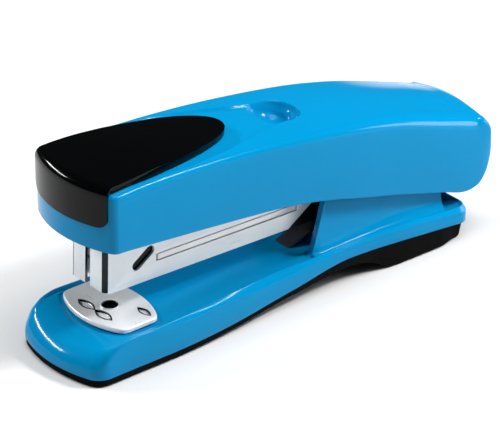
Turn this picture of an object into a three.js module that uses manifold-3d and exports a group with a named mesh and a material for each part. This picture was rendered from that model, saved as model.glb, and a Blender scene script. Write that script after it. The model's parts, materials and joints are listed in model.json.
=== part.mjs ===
// Half-strip desktop stapler: a base with a turning anvil, a staple magazine and a handle on one hinge pin.
// Millimetres, +Z up. The length runs along X with the mouth at -X, and the width along Y.
import * as THREE from "three";
import { mergeVertices } from "three/addons/utils/BufferGeometryUtils.js";
import Module from "manifold-3d";

// Driving dimensions. X is counted from the middle of the anvil.
const BASE_FRONT = -20.4;
const BASE_REAR = 115.5;
const COVER_FRONT = -15.2;
const COVER_REAR = 124.2;
const PIN_X = 109.5;
const PIN_Z = 24;
const PIN_RADIUS = 1.95;
const PIN_HOLE = 2.3;
const MAGAZINE_TILT = 0.0308; // radians, mouth up
const MAGAZINE_HALF_WIDTH = 7.3;
const SHEET = 0.8; // thickness of the folded steel sheet
const ANVIL_TOP = 12.5;
const ANVIL_SHEET = 1.2;
const COVER_WALL = 1.9;
const GAP = 0.3; // clearance between neighbouring pieces
const ORIGIN_X = (BASE_FRONT + COVER_REAR) / 2;

// Heights and half widths along the length, as [x, value] pairs for smooth curves.
const SOLE_BOTTOM = [[-22, 0], [6, 0], [22, 0.5], [50, 3.2], [72, 4.9], [79, 3.6], [84, 0.9], [87, 0],
  [120, 0]];
const SOLE_TOP = [[-22, 2], [6, 2], [22, 2.3], [50, 4.9], [72, 7.7], [88, 7.2], [100, 6.2], [120, 4.8]];
const BASE_WIDTH = [[-22, 17.3], [10, 17.3], [30, 16.6], [50, 15.8], [66, 15.6], [80, 16], [92, 16.6],
  [120, 16.8]];
const RIDGE = [[-22, 7.2], [-17, 8.4], [-13, 10], [-9, 11.3], [-5, 11.8], [3, 11.6], [20, 11.6], [40, 12],
  [60, 12.1], [80, 12.4], [92, 12], [104, 10.8], [116, 10.1]];
const RIDGE_INSET = [[-22, 4.2], [-16.5, 4], [-13, 2], [-10, 0.7], [-6, 0.45], [3, 0.45], [8, 0.7], [20, 1.4],
  [44, 1.5], [62, 0.75], [90, 0.75], [120, 1]];
const RIDGE_DROP = [[-22, 0], [-14, 0], [-8, 0.5], [0, 0.7], [92, 0.8], [116, 0.3]];
const CREASE = [[-22, 3.6], [-16.5, 4.2], [-13, 7.5], [-10, 9.9], [-6, 11.3], [0, 11], [6, 8.6], [14, 9.3],
  [22, 10.2], [44, 10.1], [62, 11.1], [73, 11.5], [92, 11.1], [104, 9.8], [113, 8.6], [120, 8.2]];
const COVER_WIDTH = [[-20, 17], [36, 17], [70, 16.8], [88, 16.4], [107, 16], [125, 15.6]];
const COVER_TOP = [[-20, 55], [2, 55.6], [19, 55], [36, 53.8], [53, 52], [71, 49.5], [89, 45.8],
  [107, 40.2], [116, 37.1], [120.6, 35.4], [122.8, 33], [124.2, 29.8]];
const COVER_BOTTOM = [[-20, 38.6], [-8, 38.1], [0, 37.4], [17, 35.8], [34, 34.1], [48, 32.4], [62, 29.5],
  [75, 25.8], [88, 22.2], [105, 17], [115.2, 14.1], [118.6, 14.7], [121.6, 18], [123.3, 23.6],
  [124.4, 28.6]];
const COVER_FILLET = [[-20, 1.6], [30, 2], [70, 3.2], [107, 4.6], [118, 4.4], [121, 2.4], [125, 1.6]];

const wasm = await Module();
wasm.setup();

const FINISHES = {
  blue: { color: 0x0f93d2, roughness: 0.22, metalness: 0 },
  black: { color: 0x0a0b0c, roughness: 0.3, metalness: 0 },
  rubber: { color: 0x0b0b0c, roughness: 0.8, metalness: 0 },
  steel: { color: 0xc9ced1, roughness: 0.3, metalness: 1 },
  bright: { color: 0xe6e8ea, roughness: 0.2, metalness: 1 },
  spring: { color: 0x9a9fa3, roughness: 0.35, metalness: 1 },
};

// ---------- helpers ----------

// Monotone cubic curve through [x, value] pairs, flat beyond its ends.
function curve(points) {
  const slopes = points.map((p, i) => {
    const before = points[i - 1];
    const after = points[i + 1];
    if (!before || !after) return 0;
    const left = (p[1] - before[1]) / (p[0] - before[0]);
    const right = (after[1] - p[1]) / (after[0] - p[0]);
    return left * right <= 0 ? 0 : (2 * left * right) / (left + right);
  });
  return (x) => {
    const i = points.findIndex((p) => p[0] > x);
    if (i === 0) return points[0][1];
    if (i < 0) return points[points.length - 1][1];
    const [x0, y0] = points[i - 1];
    const [x1, y1] = points[i];
    const span = x1 - x0;
    const t = (x - x0) / span;
    const rise = (1 + 2 * t) * (1 - t) ** 2 * y0 + t * t * (3 - 2 * t) * y1;
    return rise + t * (1 - t) ** 2 * span * slopes[i - 1] - t * t * (1 - t) * span * slopes[i];
  };
}

function solidOf(geometry) {
  const bare = geometry.clone();
  bare.deleteAttribute("normal");
  bare.deleteAttribute("uv");
  const merged = mergeVertices(bare, 1e-4);
  return new wasm.Manifold(
    new wasm.Mesh({
      numProp: 3,
      vertProperties: new Float32Array(merged.attributes.position.array),
      triVerts: new Uint32Array(merged.index.array),
    }),
  );
}

function geometryOf(solid) {
  const mesh = solid.getMesh();
  const geometry = new THREE.BufferGeometry();
  geometry.setAttribute("position", new THREE.BufferAttribute(mesh.vertProperties, 3));
  geometry.setIndex(new THREE.BufferAttribute(mesh.triVerts, 1));
  geometry.computeVertexNormals();
  return geometry;
}

// Moves and turns a geometry about Y, then makes it a solid.
function placed(geometry, x = 0, y = 0, z = 0) {
  return solidOf(geometry.translate(x, y, z));
}

function box(x0, x1, y0, y1, z0, z1) {
  const block = new THREE.BoxGeometry(x1 - x0, y1 - y0, z1 - z0);
  return placed(block, (x0 + x1) / 2, (y0 + y1) / 2, (z0 + z1) / 2);
}

// Cylinder along Y, centred on (x, 0, z).
function crossBar(x, z, radius, halfLength, sides = 24) {
  const bar = new THREE.CylinderGeometry(radius, radius, 2 * halfLength, sides);
  return placed(bar, x, 0, z);
}

function post(x, y, z0, z1, radius, sides = 24) {
  const bar = new THREE.CylinderGeometry(radius, radius, z1 - z0, sides).rotateX(Math.PI / 2);
  return placed(bar, x, y, (z0 + z1) / 2);
}

function tube(z0, z1, inner, outer, sides = 24) {
  const profile = [[inner, z0], [outer, z0], [outer, z1], [inner, z1], [inner, z0]];
  const lathe = new THREE.LatheGeometry(profile.map((p) => new THREE.Vector2(...p)), sides);
  return solidOf(lathe.rotateX(Math.PI / 2));
}

function shapeOf(points) {
  return new THREE.Shape(points.map((p) => new THREE.Vector2(...p)));
}

// Side view outline in X and Z, extruded from y0 to y1.
function sidePlate(outline, y0, y1) {
  const options = { depth: y1 - y0, bevelEnabled: false, curveSegments: 16 };
  const plate = new THREE.ExtrudeGeometry(outline, options).rotateX(Math.PI / 2);
  return placed(plate, 0, y1, 0);
}

// Plan view outline in X and Y, extruded from z0 to z1.
function planPlate(outline, z0, z1) {
  const options = { depth: z1 - z0, bevelEnabled: false, curveSegments: 12 };
  return placed(new THREE.ExtrudeGeometry(outline, options), 0, 0, z0);
}

// Front view outline in Y and Z, extruded from x0 to x1.
function frontPlate(outline, x0, x1) {
  const options = { depth: x1 - x0, bevelEnabled: false, curveSegments: 10 };
  const turn = new THREE.Matrix4().makeBasis(
    new THREE.Vector3(0, 1, 0),
    new THREE.Vector3(0, 0, 1),
    new THREE.Vector3(1, 0, 0),
  );
  return placed(new THREE.ExtrudeGeometry(outline, options).applyMatrix4(turn), x0, 0, 0);
}

function bothSides(make) {
  return make(1).add(make(-1));
}

// One side of a plan outline from y = 0 at the nose round to y = 0 at the rear: a wide nose arc,
// a corner arc tangent to it, a long side and a rounded rear corner.
function halfOutline({ front, rear, noseRadius, noseCorner, rearCorner, width }) {
  const side = width(front);
  const turn = Math.asin((side - noseCorner) / (noseRadius - noseCorner));
  const cornerX = front + noseRadius - (noseRadius - noseCorner) * Math.cos(turn);
  const points = [];
  for (let i = 0; i < 6; i++) {
    const a = (turn * i) / 6;
    points.push([front + noseRadius * (1 - Math.cos(a)), noseRadius * Math.sin(a)]);
  }
  for (let i = 0; i <= 4; i++) {
    const a = turn + (Math.PI / 2 - turn) * (i / 4);
    points.push([cornerX - noseCorner * Math.cos(a), side - noseCorner * (1 - Math.sin(a))]);
  }
  const end = rear - rearCorner;
  const steps = 16;
  for (let i = 1; i < steps; i++) {
    const x = cornerX + ((end - cornerX) * i) / steps;
    points.push([x, width(x)]);
  }
  for (let i = 0; i <= 4; i++) {
    const a = (Math.PI / 2) * (i / 4);
    points.push([end + rearCorner * Math.sin(a), width(end) - rearCorner * (1 - Math.cos(a))]);
  }
  points.push([rear, 0]);
  return points;
}

// The whole outline, counter-clockwise from the nose, with the inward direction at each point.
function ringOf(half) {
  const mirrored = half.slice(1, -1).map(([x, y]) => [x, -y]);
  const ring = [half[0], ...mirrored, half[half.length - 1], ...half.slice(1, -1).reverse()];
  return ring.map((p, i) => {
    const before = ring[(i + ring.length - 1) % ring.length];
    const after = ring[(i + 1) % ring.length];
    const run = Math.hypot(after[0] - before[0], after[1] - before[1]);
    return { x: p[0], y: p[1], inX: -(after[1] - before[1]) / run, inY: (after[0] - before[0]) / run };
  });
}

// Solid whose walls follow a plan outline. Each level has a height that depends on x, and an inset that may,
// or fill: a share of the way from that inset to the middle line.
function perimeterSolid(ring, levels) {
  const xs = ring.map((p) => p.x);
  const low = Math.min(...xs) + 14;
  const high = Math.max(...xs) - 14;
  const rows = levels.map(({ inset = 0, fill = 0, z }) =>
    ring.map((p) => {
      const depth = typeof inset === "function" ? inset(p.x) : inset;
      const x = p.x + p.inX * depth;
      const y = p.y + p.inY * depth;
      const middle = Math.min(Math.max(x, low), high);
      const px = x + (middle - x) * fill;
      return [px, fill === 1 ? 0 : y * (1 - fill), z(px, fill)];
    }),
  );
  const position = rows.flat(2);
  const index = [];
  const n = ring.length;
  for (let k = 0; k + 1 < rows.length; k++) {
    for (let i = 0; i < n; i++) {
      const a = k * n + i;
      const b = k * n + ((i + 1) % n);
      index.push(a, b, b + n, a, b + n, a + n);
    }
  }
  const geometry = new THREE.BufferGeometry();
  geometry.setAttribute("position", new THREE.BufferAttribute(new Float32Array(position), 3));
  geometry.setIndex(index);
  const merged = mergeVertices(geometry, 1e-4);
  const faces = merged.index.array;
  const kept = [];
  for (let i = 0; i < faces.length; i += 3) {
    const [a, b, c] = [faces[i], faces[i + 1], faces[i + 2]];
    if (a !== b && b !== c && c !== a) kept.push(a, b, c);
  }
  merged.setIndex(kept);
  return solidOf(merged);
}

const stapler = new THREE.Group();
stapler.position.x = -ORIGIN_X;
const magazine = new THREE.Group();
magazine.position.set(PIN_X, 0, PIN_Z);
magazine.rotation.y = MAGAZINE_TILT;
stapler.add(magazine);

function addNode(name, solid, finish, group = stapler) {
  const mesh = new THREE.Mesh(geometryOf(solid), new THREE.MeshStandardMaterial(FINISHES[finish]));
  mesh.name = name;
  group.add(mesh);
}

// ---------- base ----------

const soleBottom = curve(SOLE_BOTTOM);
const soleTop = curve(SOLE_TOP);
const ridge = curve(RIDGE);
const ridgeInset = curve(RIDGE_INSET);
const ridgeDrop = curve(RIDGE_DROP);
const crease = curve(CREASE);
const deck = (x) => ridge(x) - ridgeDrop(x);
const BASE_PLAN = {
  front: BASE_FRONT, rear: BASE_REAR, noseRadius: 40, noseCorner: 5.5, rearCorner: 4, width: curve(BASE_WIDTH),
};
const baseRing = ringOf(halfOutline(BASE_PLAN));
const STRIP_TOP = 8.4;
const STRIP_SHEET = 1.2;
const EAR_INNER = 9.1; // distance from the middle to the inner face of the base strip's ears
const EAR_SHEET = 1;
const POCKET_TOP = 8.8;
const SCREW_FRONT = -9.2;
const SCREW_REAR = 98;

const CHEEK_INNER = 11.2;
const CHEEK_OUTER = 13;

function tower() {
  const outline = shapeOf([[60.3, 12], [64, 26], [65, 29], [104, 29], [107, 26], [106.7, 10], [62, 10]]);
  const cheeks = bothSides((s) => (s > 0
    ? sidePlate(outline, CHEEK_INNER, CHEEK_OUTER)
    : sidePlate(outline, -CHEEK_OUTER, -CHEEK_INNER)));
  const flare = shapeOf([[11.4, 10], [14.6, 10], [14.2, 12.8], [13.2, 17], [11.4, 17]]);
  const flares = bothSides((s) => {
    const half = frontPlate(flare, 66, 104);
    return s > 0 ? half : half.mirror([0, 1, 0]);
  });
  return cheeks.add(flares);
}

function baseCover() {
  const body = perimeterSolid(baseRing, [
    { fill: 1, z: (x) => soleTop(x) + GAP },
    { inset: 0.3, z: (x) => soleTop(x) + GAP },
    { z: (x) => soleTop(x) + 1.2 },
    { z: crease },
    { inset: (x) => 0.3 * ridgeInset(x), z: (x) => 0.35 * crease(x) + 0.65 * ridge(x) },
    { inset: ridgeInset, z: ridge },
    { inset: (x) => ridgeInset(x) + 0.3, z: ridge },
    { inset: (x) => ridgeInset(x) + 0.8, z: deck },
    { inset: (x) => ridgeInset(x) + 0.8, fill: 1, z: deck },
  ]);
  const pocketRing = ringOf(halfOutline({ ...BASE_PLAN, front: BASE_FRONT + 4.4, width: () => 12 }));
  const pocket = perimeterSolid(pocketRing, [
    { inset: 3, fill: 1, z: () => -5 },
    { inset: 3, z: () => -5 },
    { inset: 3, z: () => POCKET_TOP },
    { inset: 3, fill: 1, z: () => POCKET_TOP },
  ]);
  const earSlots = bothSides((s) => {
    const near = s * (EAR_INNER - GAP);
    const far = s * (EAR_INNER + EAR_SHEET + GAP);
    return box(93, 108.4, Math.min(near, far), Math.max(near, far), 5, 30);
  });
  const well = box(62, 108, -9.6, 9.6, 10.4, 30);
  return body
    .add(tower())
    .subtract(pocket)
    .subtract(earSlots)
    .subtract(well)
    .subtract(post(0, 0, 0, 20, 2.6));
}

function sole() {
  const body = perimeterSolid(baseRing, [
    { inset: 1.2, fill: 1, z: soleBottom },
    { inset: 1.2, z: soleBottom },
    { inset: 0.4, z: (x) => soleBottom(x) + 0.8 },
    { inset: 0.2, z: soleTop },
    { inset: 0.2, fill: 1, z: soleTop },
  ]);
  const tray = box(56, 106, -8.3, 8.3, 6.6, 20);
  return body
    .subtract(tray)
    .subtract(post(0, 0, -2, 6, 6.2))
    .subtract(post(SCREW_FRONT, 0, -2, 9, 2.2))
    .subtract(post(SCREW_REAR, 0, -2, 9, 2.2));
}

function baseFrame() {
  const strip = box(-11.7, 105, -8, 8, STRIP_TOP - STRIP_SHEET, STRIP_TOP);
  const foot = bothSides((s) => {
    const y0 = s > 0 ? 7 : -EAR_INNER - EAR_SHEET;
    return box(95, 105, y0, y0 + EAR_INNER + EAR_SHEET - 7, STRIP_TOP - STRIP_SHEET, STRIP_TOP);
  });
  const ear = shapeOf([[95, STRIP_TOP - STRIP_SHEET], [105, STRIP_TOP - STRIP_SHEET], [106, 17.5]]);
  ear.absarc(PIN_X, PIN_Z, 4.4, -Math.PI / 3, Math.PI * 0.9, false);
  const ears = bothSides((s) => {
    const y0 = s > 0 ? EAR_INNER : -EAR_INNER - EAR_SHEET;
    return sidePlate(ear, y0, y0 + EAR_SHEET);
  });
  return strip
    .add(foot)
    .add(ears)
    .subtract(crossBar(PIN_X, PIN_Z, PIN_HOLE, 20))
    .subtract(post(0, 0, 0, 12, 2.6))
    .subtract(post(SCREW_FRONT, 0, 0, 12, 1.3))
    .subtract(post(SCREW_REAR, 0, 0, 12, 1.3));
}

function screw(x) {
  return post(x, 0, 0.5, 1.7, 1.9).add(post(x, 0, 1.6, STRIP_TOP + 0.2, 1));
}

function hingeClip(side) {
  const ring = tube(10.5, 11.1, 2.15, 3.6).rotate([-90, 0, 0]);
  const there = ring.translate([PIN_X, 0, PIN_Z]);
  return side > 0 ? there : there.mirror([0, 1, 0]);
}

function returnSpring() {
  const low = STRIP_TOP + GAP;
  const leaf = shapeOf([[38, low], [58, low], [84, 17.1], [84, 17.6], [57.8, low + 0.5], [38, low + 0.5]]);
  return sidePlate(leaf, -3, 3);
}

addNode("base_cover", baseCover().subtract(box(36, 86, -4, 4, 8, 20)), "blue");
addNode("sole", sole(), "rubber");
addNode("base_frame", baseFrame(), "steel");
addNode("hinge_pin", crossBar(PIN_X, PIN_Z, PIN_RADIUS, 11.5), "steel");
addNode("hinge_clip_left", hingeClip(-1), "spring");
addNode("hinge_clip_right", hingeClip(1), "spring");
addNode("return_spring", returnSpring(), "spring");
addNode("sole_screw_front", screw(SCREW_FRONT), "steel");
addNode("sole_screw_rear", screw(SCREW_REAR), "steel");

// ---------- anvil ----------

const ANVIL_HALF_WIDTH = 13.6;
const ANVIL_CORNER = 5.6; // half length at the two ends
const ANVIL_BELLY = 9.5; // half length in the middle
const ANVIL_BOTTOM = ANVIL_TOP - ANVIL_SHEET;

function anvilOutline() {
  const rise = ANVIL_BELLY - ANVIL_CORNER;
  const radius = (ANVIL_HALF_WIDTH ** 2 + rise ** 2) / (2 * rise);
  const half = Math.asin(ANVIL_HALF_WIDTH / radius);
  const outline = new THREE.Shape();
  outline.absarc(ANVIL_BELLY - radius, 0, radius, -half, half, false);
  outline.absarc(radius - ANVIL_BELLY, 0, radius, Math.PI - half, Math.PI + half, false);
  return outline;
}

// Groove for one staple leg, cut with a squashed sphere.
function groove(x, y) {
  return placed(new THREE.SphereGeometry(1, 16, 8).scale(1.1, 3.3, 0.6), x, y, ANVIL_TOP);
}

function anvilPlate() {
  const plate = planPlate(anvilOutline(), ANVIL_BOTTOM, ANVIL_TOP);
  const grooves = [groove(-4.8, -3.7), groove(-4.8, 3.9), groove(4.6, -9), groove(4.6, 9)];
  return grooves.reduce((a, b) => a.subtract(b), plate).subtract(post(0, 0, 0, 20, 2.05));
}

function anvilPost() {
  const shaft = post(0, 0, 1.4, ANVIL_TOP - 0.5, 1.75);
  const button = post(0, 0, 1, 2.4, 5.6, 32);
  return shaft.add(button);
}

addNode("anvil_plate", anvilPlate(), "bright");
addNode("anvil_post", anvilPost(), "steel");
addNode("anvil_spring", tube(4.2, 6.4, 2.1, 3.2), "spring");
addNode("anvil_washer", tube(6.6, 6.95, 2.1, 4.2), "steel");

// ---------- magazine, in its own frame: origin on the pin, X along the channel ----------

const FLOOR = -6.8; // underside of the channel below the pin
const MOUTH = -116.6; // front face of the channel
const WALL_TOP = 4;
const NOSE_TOP = 9;
const WINDOW = { x0: -99.3, x1: -50.5, z0: -2, z1: 0.3 };
const RAIL_HALF_WIDTH = 5.4;
const RAIL_TOP = -0.7;
const STAPLE_TOP = 0.05;
const RIVET_X = -17;
const RIVET_Z = -3.4;
const STAPLE_FRONT = MOUTH + 2.5;
const STAPLE_REAR = -64;

function obliqueSlot() {
  const slot = new THREE.Shape();
  const [x0, z0, x1, z1, radius] = [-105.8, -1.2, -101.5, 1.9, 1.5];
  const lean = Math.atan2(z1 - z0, x1 - x0);
  slot.absarc(x0, z0, radius, lean + Math.PI / 2, lean + Math.PI * 1.5, false);
  slot.absarc(x1, z1, radius, lean - Math.PI / 2, lean + Math.PI / 2, false);
  return sidePlate(slot, -10, 10);
}

function channel() {
  const w = MAGAZINE_HALF_WIDTH;
  const wall = shapeOf([[MOUTH + 1.2, FLOOR], [-6, FLOOR], [-2, -4.5], [4.4, -2], [4.4, 2.6], [2.6, 4.2],
    [-92, WALL_TOP], [-99, NOSE_TOP], [MOUTH + 1.2, NOSE_TOP]]);
  const walls = bothSides((s) => sidePlate(wall, s > 0 ? w - SHEET : -w, s > 0 ? w : SHEET - w));
  const floor = box(MOUTH + 4.4, -8, -w, w, FLOOR, FLOOR + SHEET);
  const section = new THREE.Shape();
  section.moveTo(MOUTH + 1.4, w);
  section.absarc(MOUTH + 1.4, w - 1.4, 1.4, Math.PI / 2, Math.PI, false);
  section.lineTo(MOUTH, 1.05);
  section.lineTo(MOUTH + SHEET, 1.05);
  section.absarc(MOUTH + 1.4, w - 1.4, 0.6, Math.PI, Math.PI / 2, true);
  const tab = planPlate(section, FLOOR, NOSE_TOP);
  const lift = box(MOUTH - 1, MOUTH + 3, -10, 10, FLOOR - 1, FLOOR + 0.5);
  const tabs = tab.add(tab.mirror([0, 1, 0])).subtract(lift);
  const windows = box(WINDOW.x0, WINDOW.x1, -10, 10, WINDOW.z0, WINDOW.z1);
  return walls
    .add(floor)
    .add(tabs)
    .subtract(windows)
    .subtract(obliqueSlot())
    .subtract(crossBar(0, 0, PIN_HOLE, 20))
    .subtract(crossBar(RIVET_X, RIVET_Z, 1.3, 20));
}

function guideStrip(side) {
  const inner = MAGAZINE_HALF_WIDTH - 0.75;
  const y0 = side > 0 ? inner : -inner - 0.55;
  return box(WINDOW.x0 + 0.8, WINDOW.x1 - 0.3, y0, y0 + 0.55, WINDOW.z0 + 0.2, WINDOW.z1 - 0.45);
}

function stapleRail() {
  const x0 = MOUTH + 3.2;
  const x1 = -14;
  const w = RAIL_HALF_WIDTH;
  const body = box(x0, x1, -w, w, FLOOR + SHEET + GAP, RAIL_TOP);
  const inside = box(x0 + 1, x1 + 1, -w + SHEET, w - SHEET, FLOOR - 1, RAIL_TOP - SHEET);
  const slot = box(STAPLE_REAR - 1, -20, -1.5, 1.5, RAIL_TOP - 2, RAIL_TOP + 1);
  return body.subtract(inside).subtract(slot).subtract(crossBar(RIVET_X, RIVET_Z, 1.3, 20));
}

function stapleStrip() {
  const outer = box(STAPLE_FRONT, STAPLE_REAR, -6.38, 6.38, STAPLE_TOP - 6, STAPLE_TOP);
  const inner = box(STAPLE_FRONT - 1, STAPLE_REAR + 1, -5.7, 5.7, STAPLE_TOP - 7, STAPLE_TOP - 0.5);
  return outer.subtract(inner);
}

function pusher() {
  const x0 = STAPLE_REAR + GAP;
  const x1 = x0 + 16;
  const outer = box(x0, x1, -6.1, 6.1, FLOOR + SHEET + GAP, 1.4);
  const saddle = box(x0 - 1, x1 + 1, -5.7, 5.7, FLOOR, RAIL_TOP + 0.3);
  const tongue = box(x0 + 2, x0 + 8, -1.1, 1.1, -4.6, 0);
  return outer.subtract(saddle).add(tongue);
}

function lengthwiseTube(x0, x1, z, inner, outer) {
  return tube(x0, x1, inner, outer, 14).rotate([0, 90, 0]).translate([0, 0, z]);
}

function rearStop() {
  return box(-13.4, -9, -6.1, 6.1, FLOOR + SHEET + GAP, 3);
}

const SPRING_Z = -3.3;
addNode("magazine_channel", channel(), "steel", magazine);
addNode("guide_strip_left", guideStrip(-1), "bright", magazine);
addNode("guide_strip_right", guideStrip(1), "bright", magazine);
addNode("staple_rail", stapleRail(), "steel", magazine);
addNode("staple_strip", stapleStrip(), "bright", magazine);
addNode("pusher_spring", lengthwiseTube(-111.6, STAPLE_REAR + 1.8, SPRING_Z, 1, 1.7), "spring", magazine);
addNode("rear_stop", rearStop(), "steel", magazine);
addNode("magazine_rivet", crossBar(RIVET_X, RIVET_Z, 1, MAGAZINE_HALF_WIDTH - 0.1), "steel", magazine);
addNode("pusher", pusher(), "steel", magazine);

// ---------- handle ----------

const coverTop = curve(COVER_TOP);
const coverBottom = curve(COVER_BOTTOM);
const fillet = curve(COVER_FILLET);
const SCOOP_X = 56.5;
const PAD_TIP = 38;
const PAD_PROUD = 2;
const PAD_POCKET = 1.2;
const COVER_PLAN = {
  front: COVER_FRONT, rear: COVER_REAR, noseRadius: 34, noseCorner: 2.6, rearCorner: 1.6,
  width: curve(COVER_WIDTH),
};
const coverRing = ringOf(halfOutline(COVER_PLAN));
const crown = (x, fill) => coverTop(x) + 0.7 * Math.sin((fill * Math.PI) / 2);

// The cover's outer shape, grown outwards by side and upwards by rise.
function coverShape(side, rise, bottom) {
  const rim = 4.8;
  return perimeterSolid(coverRing, [
    { inset: -side, fill: 1, z: bottom },
    { inset: -side, z: bottom },
    { inset: -side, z: (x) => Math.max(coverTop(x) - fillet(x), coverBottom(x) + 0.2) + rise },
    { inset: 0.08 * rim - side, z: (x) => coverTop(x) - fillet(x) * 0.62 + rise },
    { inset: 0.29 * rim - side, z: (x) => coverTop(x) - fillet(x) * 0.29 + rise },
    { inset: 0.62 * rim - side, z: (x) => coverTop(x) - fillet(x) * 0.08 + rise },
    { inset: rim - side, z: (x) => coverTop(x) + rise },
    { inset: rim - side, fill: 0.3, z: (x, f) => crown(x, f) + rise },
    { inset: rim - side, fill: 1, z: (x, f) => crown(x, f) + rise },
  ]);
}

function padOutline(grow) {
  const outline = new THREE.Shape();
  const half = 15.2 + grow;
  const tip = PAD_TIP + grow;
  outline.moveTo(-30, half);
  outline.lineTo(-30, -half);
  outline.lineTo(-8, -half);
  outline.bezierCurveTo(6, -half + 0.6, 22, -11.6 - grow, tip - 5, -6.6 - grow);
  outline.bezierCurveTo(tip - 1.6, -5 - grow, tip, -2.6, tip, 0);
  outline.bezierCurveTo(tip, 2.6, tip - 1.6, 5 + grow, tip - 5, 6.6 + grow);
  outline.bezierCurveTo(22, 11.6 + grow, 6, half - 0.6, -8, half);
  return outline;
}

// The pad's reach: all of the tongue in plan, down to a lower edge on the nose.
function padReach(grow) {
  const lower = 45.7 - grow;
  const nose = planPlate(padOutline(grow), lower, 70);
  const behind = box(-7 + grow, 60, -20, 20, 0, 48);
  return nose.subtract(behind);
}

function coverCavity() {
  const scoopRoom = (x) => 5.4 * Math.exp(-(((x - SCOOP_X) / 11) ** 2));
  const ceiling = (x) => coverTop(x) - 3.4 - scoopRoom(x);
  const lowest = (x) => coverBottom(x) - 12;
  return perimeterSolid(coverRing, [
    { inset: COVER_WALL, fill: 1, z: lowest },
    { inset: COVER_WALL, z: lowest },
    { inset: COVER_WALL, z: (x) => ceiling(x) - 3 },
    { inset: COVER_WALL + 3, z: ceiling },
    { inset: COVER_WALL + 3, fill: 0.5, z: ceiling },
    { inset: COVER_WALL + 3, fill: 1, z: ceiling },
  ]);
}

function scoop() {
  const pit = new THREE.SphereGeometry(1, 24, 14).scale(9.2, 9, 6.4);
  return placed(pit, SCOOP_X - 2.4, 0, 54.2);
}

function topCover() {
  return coverShape(0, 0, coverBottom)
    .subtract(coverCavity())
    .subtract(padPocket())
    .subtract(scoop());
}

function padPocket() {
  return padReach(GAP).subtract(coverShape(-0.8, -PAD_POCKET, () => 0));
}

function thumbPad() {
  const skin = coverShape(0.6, PAD_PROUD, () => 0);
  const below = coverShape(-0.5, -PAD_POCKET + GAP, () => 0);
  return skin.subtract(below).intersect(padReach(0));
}

const ARM_INNER = 7.7;
const ARM_SHEET = 1;

function handleFrame() {
  const arm = shapeOf([[70, 33], [100, 21.5], [105, 19.8]]);
  arm.absarc(PIN_X, PIN_Z, 4.6, -Math.PI * 0.6, Math.PI * 0.35, false);
  arm.lineTo(104, 32.6);
  arm.lineTo(86, 37.2);
  arm.lineTo(66, 38.4);
  arm.lineTo(4, 45.4);
  arm.lineTo(-8, 46);
  arm.lineTo(-8, 41);
  arm.lineTo(4, 40.4);
  const arms = bothSides((s) => {
    const y0 = s > 0 ? ARM_INNER : -ARM_INNER - ARM_SHEET;
    return sidePlate(arm, y0, y0 + ARM_SHEET);
  });
  const web = shapeOf([[4, 44.4], [66, 37.4], [66, 38.4], [4, 45.4], [-11, 46], [-11, 45]]);
  return arms
    .add(sidePlate(web, -ARM_INNER - ARM_SHEET, ARM_INNER + ARM_SHEET))
    .subtract(crossBar(PIN_X, PIN_Z, PIN_HOLE, 20));
}

// The blade leans back so that it stays clear of the tabs at the end of its stroke.
function driverBlade() {
  const blade = shapeOf([[-5.4, 28.6], [-4.8, 28.6], [-4.1, 43.4], [3, 43], [3, 43.7], [-4.7, 44.1]]);
  return sidePlate(blade, -6, 6);
}

function handleSpring() {
  const leaf = shapeOf([[64, 36.5], [46, 36.6], [26, 30.9], [18, 31.7], [18, 32.3], [26, 31.6],
    [45.6, 37.2], [64, 37.2]]);
  return sidePlate(leaf, -7.2, 7.2);
}

addNode("top_cover", topCover(), "blue");
addNode("thumb_pad", thumbPad(), "black");
addNode("handle_frame", handleFrame(), "steel");
addNode("driver_blade", driverBlade(), "bright");
addNode("handle_spring", handleSpring(), "spring");

export default stapler;
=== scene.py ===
"""Half-strip desktop stapler: fine meshes, materials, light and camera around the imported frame."""
import json
import math

import bmesh
import bpy
import numpy as np
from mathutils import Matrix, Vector

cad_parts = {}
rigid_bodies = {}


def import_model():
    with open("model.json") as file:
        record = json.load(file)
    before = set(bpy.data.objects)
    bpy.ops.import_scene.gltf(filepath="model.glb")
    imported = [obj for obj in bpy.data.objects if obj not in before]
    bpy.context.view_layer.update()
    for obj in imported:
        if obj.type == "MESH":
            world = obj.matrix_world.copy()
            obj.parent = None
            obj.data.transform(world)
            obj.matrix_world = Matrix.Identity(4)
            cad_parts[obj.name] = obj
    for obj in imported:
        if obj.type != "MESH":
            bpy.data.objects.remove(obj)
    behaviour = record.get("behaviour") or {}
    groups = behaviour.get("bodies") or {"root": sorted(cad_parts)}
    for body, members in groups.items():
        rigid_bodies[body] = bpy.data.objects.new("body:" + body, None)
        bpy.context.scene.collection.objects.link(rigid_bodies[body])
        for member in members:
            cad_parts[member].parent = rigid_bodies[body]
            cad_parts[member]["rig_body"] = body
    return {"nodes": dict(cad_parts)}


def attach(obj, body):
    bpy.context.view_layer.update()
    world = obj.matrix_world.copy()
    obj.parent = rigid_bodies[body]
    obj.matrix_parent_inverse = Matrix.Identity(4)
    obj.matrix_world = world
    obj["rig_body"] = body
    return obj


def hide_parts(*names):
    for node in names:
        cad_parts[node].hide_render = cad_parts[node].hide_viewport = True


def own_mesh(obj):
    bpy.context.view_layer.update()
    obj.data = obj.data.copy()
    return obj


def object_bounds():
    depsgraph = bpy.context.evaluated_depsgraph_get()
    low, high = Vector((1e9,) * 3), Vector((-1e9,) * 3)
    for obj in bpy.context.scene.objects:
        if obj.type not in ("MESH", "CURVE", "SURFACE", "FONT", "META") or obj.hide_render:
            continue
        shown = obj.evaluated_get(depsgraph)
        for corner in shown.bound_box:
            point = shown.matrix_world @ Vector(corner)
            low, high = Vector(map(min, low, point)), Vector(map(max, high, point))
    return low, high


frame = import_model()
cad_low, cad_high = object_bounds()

# ---------- driving dimensions, in millimetres; x is counted from the middle of the anvil ----------

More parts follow.
